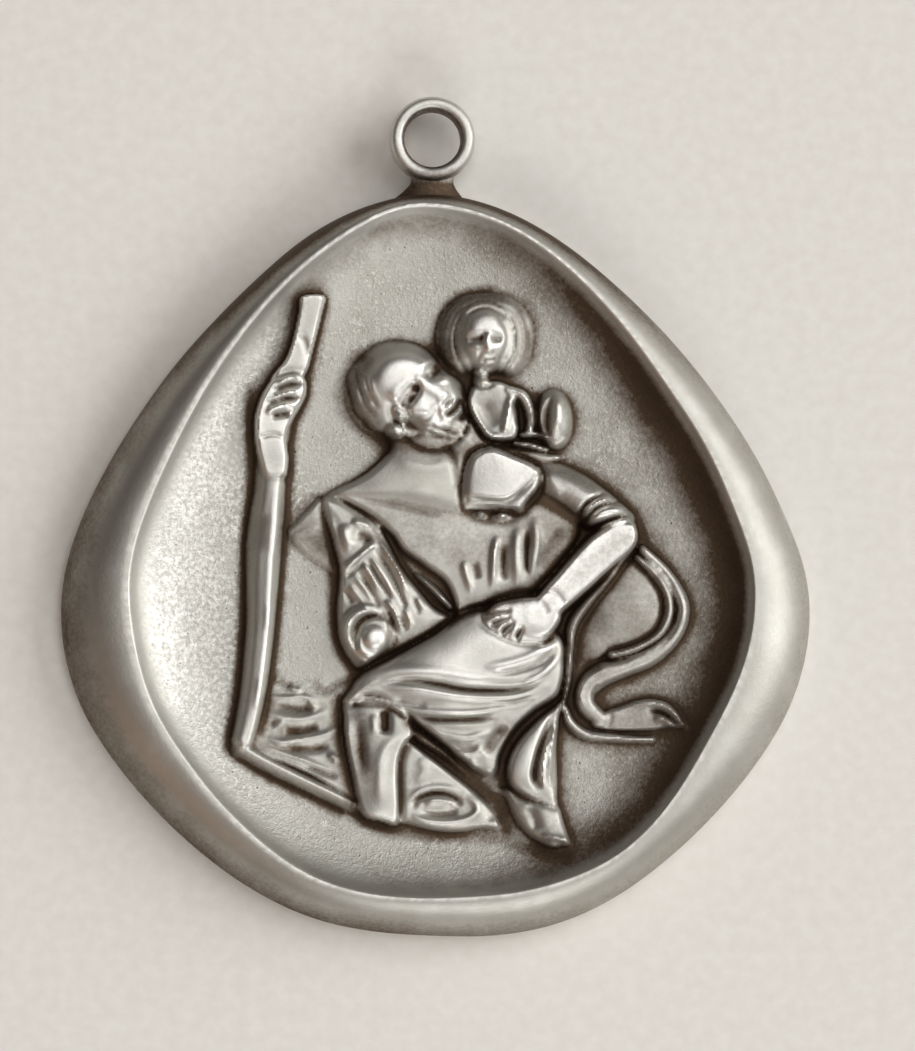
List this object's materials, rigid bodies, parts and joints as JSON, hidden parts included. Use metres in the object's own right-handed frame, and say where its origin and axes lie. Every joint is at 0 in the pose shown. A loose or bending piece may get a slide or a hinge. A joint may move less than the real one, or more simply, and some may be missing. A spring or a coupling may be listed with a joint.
{
  "type": "religious medal pendant",
  "caption": "Rounded kite-shaped silver pendant with a raised rim, a dished field with a figure in relief, and a soldered hanging loop.",
  "frame": {"origin": "centre of the flat back face of the medal's body, the loop left out", "axes": "+Z out of the relief side, +Y towards the hanging loop, +X to the right as the relief is seen"},
  "size_m": [0.028, 0.0314, 0.0026],
  "materials": {
    "silver": "antiqued satin silver, dark in the recesses and worn bright on the high points"
  },
  "bodies": {
    "root": {"medal": "silver"}
  },
  "joints": []
}
